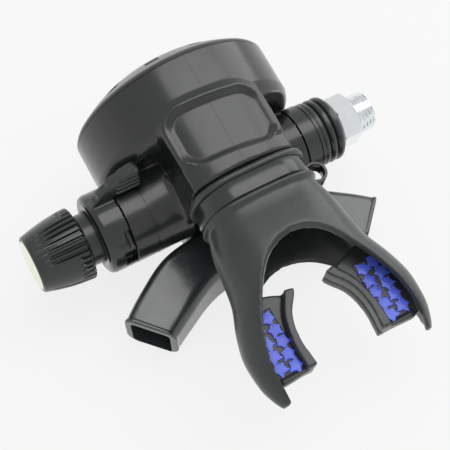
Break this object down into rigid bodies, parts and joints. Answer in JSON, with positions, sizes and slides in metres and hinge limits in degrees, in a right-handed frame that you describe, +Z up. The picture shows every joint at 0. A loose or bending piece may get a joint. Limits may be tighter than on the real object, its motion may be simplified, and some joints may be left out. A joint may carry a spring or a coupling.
{
  "type": "scuba regulator second stage",
  "caption": "Diving regulator second stage with adjusting knob, venturi lever, purge button, exhaust tee, mouthpiece and hose inlet thread.",
  "frame": {"origin": "on the table, below the centre of the box around the set as it lies on its drum and exhaust horns", "axes": "+X along the valve tube towards the hose inlet, -Y towards the mouthpiece, +Z up from the table"},
  "size_m": [0.135, 0.1345, 0.0767],
  "materials": {
    "casing": "smooth moulded gloss",
    "cover": "smooth moulded gloss",
    "button": "satin",
    "inner_plastic": "matte",
    "lever_plastic": "gloss",
    "knob_plastic": "fine satin",
    "cap_plastic": "satin, pale yellow-green",
    "ribs": "satin",
    "tee_plastic": "satin",
    "clamp_plastic": "gloss",
    "silicone": "satin silicone",
    "pad_blue": "satin, blue and grey",
    "diaphragm_rubber": "matte",
    "o_ring": "matte",
    "chrome": "polished",
    "brass": "turned",
    "steel": "brushed",
    "spring_steel": "drawn wire"
  },
  "bodies": {
    "casing": {"case_body": "casing", "front_cover": "cover", "purge_guard": "inner_plastic", "diaphragm_washer": "inner_plastic", "diaphragm": "diaphragm_rubber", "purge_spring": "spring_steel", "valve_barrel": "chrome", "heat_exchanger": "ribs", "orifice": "brass", "orifice_o_ring": "o_ring", "packing_nut": "knob_plastic", "exhaust_tee": "tee_plastic", "mouthpiece": "silicone", "bite_pad_left": "pad_blue", "bite_pad_right": "pad_blue", "mouthpiece_clamp": "clamp_plastic"},
    "purge": {"purge_button": "button"},
    "diaphragm_centre": {"diaphragm_disc": "steel"},
    "lever_arm": {"demand_lever": "steel"},
    "valve_poppet": {"poppet": "brass", "poppet_seat": "o_ring"},
    "pad": {"spring_pad": "steel", "poppet_spring": "spring_steel"},
    "adjusting_knob": {"adjusting_screw": "steel", "screw_o_ring": "o_ring", "knob": "knob_plastic", "knob_insert": "cap_plastic", "knob_screw": "steel"},
    "venturi": {"venturi_lever": "lever_plastic", "venturi_vane": "inner_plastic", "vane_o_ring": "o_ring"},
    "exhaust_flap": {"exhaust_valve": "diaphragm_rubber"}
  },
  "joints": [
    {"name": "purge_press", "type": "slide", "parent": "casing", "child": "purge", "axis": [0, -0.9567, -0.2909], "range_m": [0, 0.0035], "stiffness_N_per_m": 600, "deforming": ["purge_spring"]},
    {"name": "diaphragm_move", "type": "slide", "parent": "casing", "child": "diaphragm_centre", "axis": [0, -0.9567, -0.2909], "range_m": [0, 0.0035], "deforming": ["diaphragm"]},
    {"name": "lever_tilt", "type": "hinge", "parent": "casing", "child": "lever_arm", "pos_m": [0.00278, 0.02877, 0.03382], "axis": [0, 0.2909, -0.9567], "range_deg": [0, 12.48]},
    {"name": "poppet_open", "type": "slide", "parent": "casing", "child": "valve_poppet", "axis": [-1, 0, 0], "range_m": [0, 0.00127]},
    {"name": "pad_feed", "type": "slide", "parent": "casing", "child": "pad", "axis": [1, 0, 0], "range_m": [-0.001, 0.004], "deforming": ["poppet_spring"]},
    {"name": "knob_turn", "type": "hinge", "parent": "pad", "child": "adjusting_knob", "pos_m": [-0.05643, 0.02054, 0.03132], "axis": [1, 0, 0], "range_deg": [-360.4, 1440.4]},
    {"name": "venturi_turn", "type": "hinge", "parent": "casing", "child": "venturi", "pos_m": [-0.03943, 0.02054, 0.03132], "axis": [1, 0, 0], "range_deg": [0, 62]},
    {"name": "exhaust_lift", "type": "slide", "parent": "casing", "child": "exhaust_flap", "axis": [0, -0.9567, -0.2909], "range_m": [0, 0.0016], "stiffness_N_per_m": 50}
  ],
  "couplings": [
    {"joint": "diaphragm_move", "follows": "purge_press", "ratio": 1},
    {"joint": "lever_tilt", "follows": "purge_press", "rad_per_m": 62},
    {"joint": "poppet_open", "follows": "purge_press", "ratio": 0.36},
    {"joint": "knob_turn", "follows": "pad_feed", "rad_per_m": 6283.2}
  ]
}
